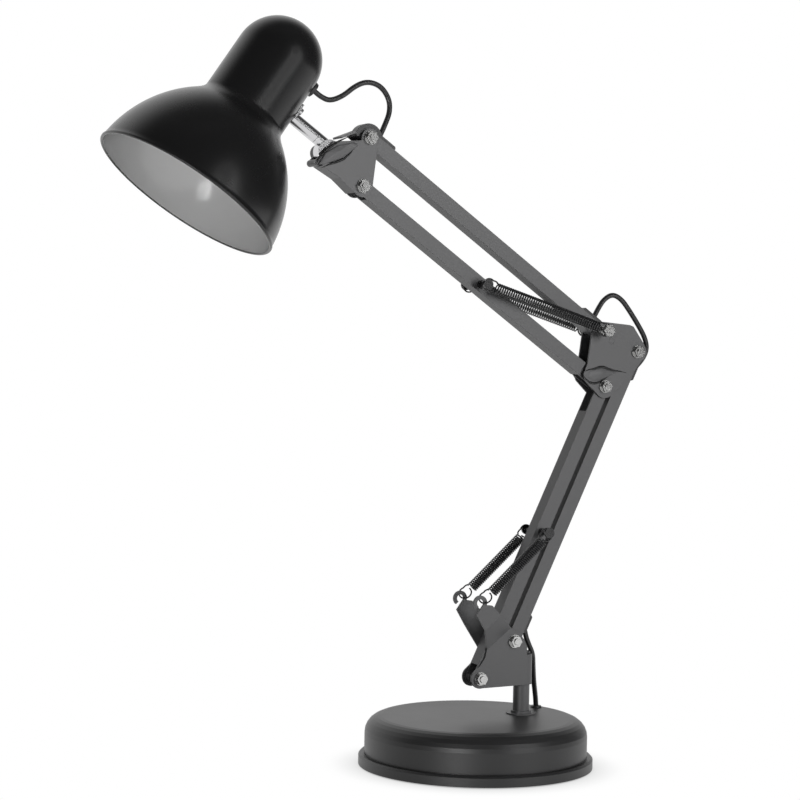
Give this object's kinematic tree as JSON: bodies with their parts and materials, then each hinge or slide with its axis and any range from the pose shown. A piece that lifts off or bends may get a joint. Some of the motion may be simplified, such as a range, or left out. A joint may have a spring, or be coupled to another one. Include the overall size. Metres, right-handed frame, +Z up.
{
  "type": "accordion desk lamp",
  "caption": "Desk lamp with a weighted round base, a swivelling post bracket, two sprung parallel-bar arms and a bell shade on a tilting rod.",
  "frame": {"origin": "on the desk, in the middle of the base's underside", "axes": "+Z is up; the arms swing in the plane Y = 0 as stored, with +X towards the elbow and +Y away from the front"},
  "size_m": [0.4522, 0.1845, 0.5594],
  "materials": {
    "arm_paint": "satin dark grey powder coat",
    "base_paint": "satin dark grey powder coat",
    "shade_paint": "satin black outside, pale grey enamel inside",
    "zinc_steel": "bright zinc plate",
    "chrome": "polished chrome plate",
    "spring_black": "black oxide on spring steel",
    "black_plastic": "moulded black nylon",
    "lead_sheath": "smooth black flexible sheath",
    "holder_plastic": "black heat-resistant moulding",
    "brass": "bare brass",
    "cast_iron": "as cast",
    "felt": "black felt"
  },
  "bodies": {
    "base": {"base_ring": "base_paint", "base_cover": "base_paint", "base_plate": "zinc_steel", "felt_pad": "felt", "base_weight": "cast_iron", "base_screws": "zinc_steel", "post": "arm_paint", "post_locknut": "zinc_steel", "post_collar": "arm_paint", "base_grommet": "black_plastic", "mains_gland": "black_plastic", "lead_in_base": "lead_sheath", "lead_loop_foot": "lead_sheath"},
    "lower_bracket": {"lower_bracket": "arm_paint", "swivel_bush": "black_plastic", "lower_pivot_bolts": "zinc_steel", "lower_pivot_nuts": "zinc_steel", "lower_pivot_washers": "zinc_steel", "lower_spring_front": "spring_black", "lower_spring_rear": "spring_black"},
    "lower_right_bar": {"lower_right_bar": "arm_paint", "lower_lead_clip_bottom": "black_plastic", "lower_lead_clip_top": "black_plastic", "lead_in_lower_arm": "lead_sheath"},
    "lower_left_bar": {"lower_left_bar": "arm_paint", "lower_spring_pin": "spring_black"},
    "elbow": {"elbow_bracket": "arm_paint", "upper_bar_rivet": "arm_paint", "spring_studs": "zinc_steel", "elbow_pivot_bolts": "zinc_steel", "elbow_pivot_nuts": "zinc_steel", "elbow_pivot_washers": "zinc_steel", "upper_spring_front": "spring_black", "upper_spring_rear": "spring_black", "lead_loop_elbow": "lead_sheath"},
    "upper_lower_bar": {"upper_lower_bar": "arm_paint", "upper_spring_pin": "spring_black"},
    "upper_upper_bar": {"upper_upper_bar": "arm_paint", "upper_lead_clip_elbow": "black_plastic", "upper_lead_clip_head": "black_plastic", "lead_in_upper_arm": "lead_sheath"},
    "head_bracket": {"head_bracket": "arm_paint", "head_pivot_bolts": "zinc_steel", "head_pivot_nuts": "zinc_steel", "head_pivot_washers": "zinc_steel", "tilt_pin": "arm_paint"},
    "thumb_nut": {"tilt_thumb_nut": "black_plastic"},
    "knuckle": {"knuckle": "chrome"},
    "shade": {"shade_rod": "chrome", "shade_rod_nut": "zinc_steel", "shade_lock_screw": "chrome", "shade_shell": "shade_paint", "shade_grommet": "black_plastic", "lamp_holder_body": "holder_plastic", "lamp_holder_shell": "brass", "lamp_holder_contact": "brass", "holder_clamp": "zinc_steel", "lead_in_shade": "lead_sheath", "lead_loop_head": "lead_sheath"}
  },
  "joints": [
    {"name": "arm_swivel", "type": "hinge", "parent": "base", "child": "lower_bracket", "pos_m": [0.0394, 0, 0.0725], "axis": [0, 0, 1], "range_deg": [-160, 160], "deforming": ["lead_loop_foot"]},
    {"name": "lower_arm", "type": "hinge", "parent": "lower_bracket", "child": "lower_right_bar", "pos_m": [0.0281, 0, 0.0949], "axis": [0, 1, 0], "range_deg": [-60, 4], "deforming": ["lead_loop_foot"]},
    {"name": "lower_arm_link", "type": "hinge", "parent": "lower_bracket", "child": "lower_left_bar", "pos_m": [-0.0011, 0, 0.0673], "axis": [0, 1, 0], "range_deg": [-60, 4], "deforming": ["lower_spring_front", "lower_spring_rear"]},
    {"name": "elbow_level", "type": "hinge", "parent": "lower_right_bar", "child": "elbow", "pos_m": [0.13369, 0, 0.3193], "axis": [0, 1, 0], "range_deg": [-4, 60], "deforming": ["lead_loop_elbow"]},
    {"name": "upper_arm", "type": "hinge", "parent": "elbow", "child": "upper_upper_bar", "pos_m": [0.10989, 0, 0.3275], "axis": [0, 1, 0], "range_deg": [-56, 44], "deforming": ["lead_loop_elbow"]},
    {"name": "upper_arm_link", "type": "hinge", "parent": "elbow", "child": "upper_lower_bar", "pos_m": [0.10449, 0, 0.2917], "axis": [0, 1, 0], "range_deg": [-56, 44], "deforming": ["upper_spring_front", "upper_spring_rear"]},
    {"name": "head_level", "type": "hinge", "parent": "upper_upper_bar", "child": "head_bracket", "pos_m": [-0.10181, 0, 0.47409], "axis": [0, 1, 0], "range_deg": [-44, 56], "deforming": ["lead_loop_head"]},
    {"name": "shade_tilt", "type": "hinge", "parent": "head_bracket", "child": "knuckle", "pos_m": [-0.13351, 0, 0.46249], "axis": [0, 1, 0], "range_deg": [-40, 50], "deforming": ["lead_loop_head"]},
    {"name": "shade_swivel", "type": "hinge", "parent": "knuckle", "child": "shade", "pos_m": [-0.1428, 0, 0.47315], "axis": [-0.8231, 0, 0.5678], "range_deg": [-80, 80], "deforming": ["lead_loop_head"]},
    {"name": "tilt_nut_turn", "type": "hinge", "parent": "head_bracket", "child": "thumb_nut", "pos_m": [-0.13351, 0.012, 0.46249], "axis": [0, 1, 0], "continuous": true}
  ],
  "couplings": [
    {"joint": "lower_arm_link", "follows": "lower_arm", "ratio": 1},
    {"joint": "elbow_level", "follows": "lower_arm", "ratio": -1},
    {"joint": "upper_arm_link", "follows": "upper_arm", "ratio": 1},
    {"joint": "head_level", "follows": "upper_arm", "ratio": -1}
  ]
}
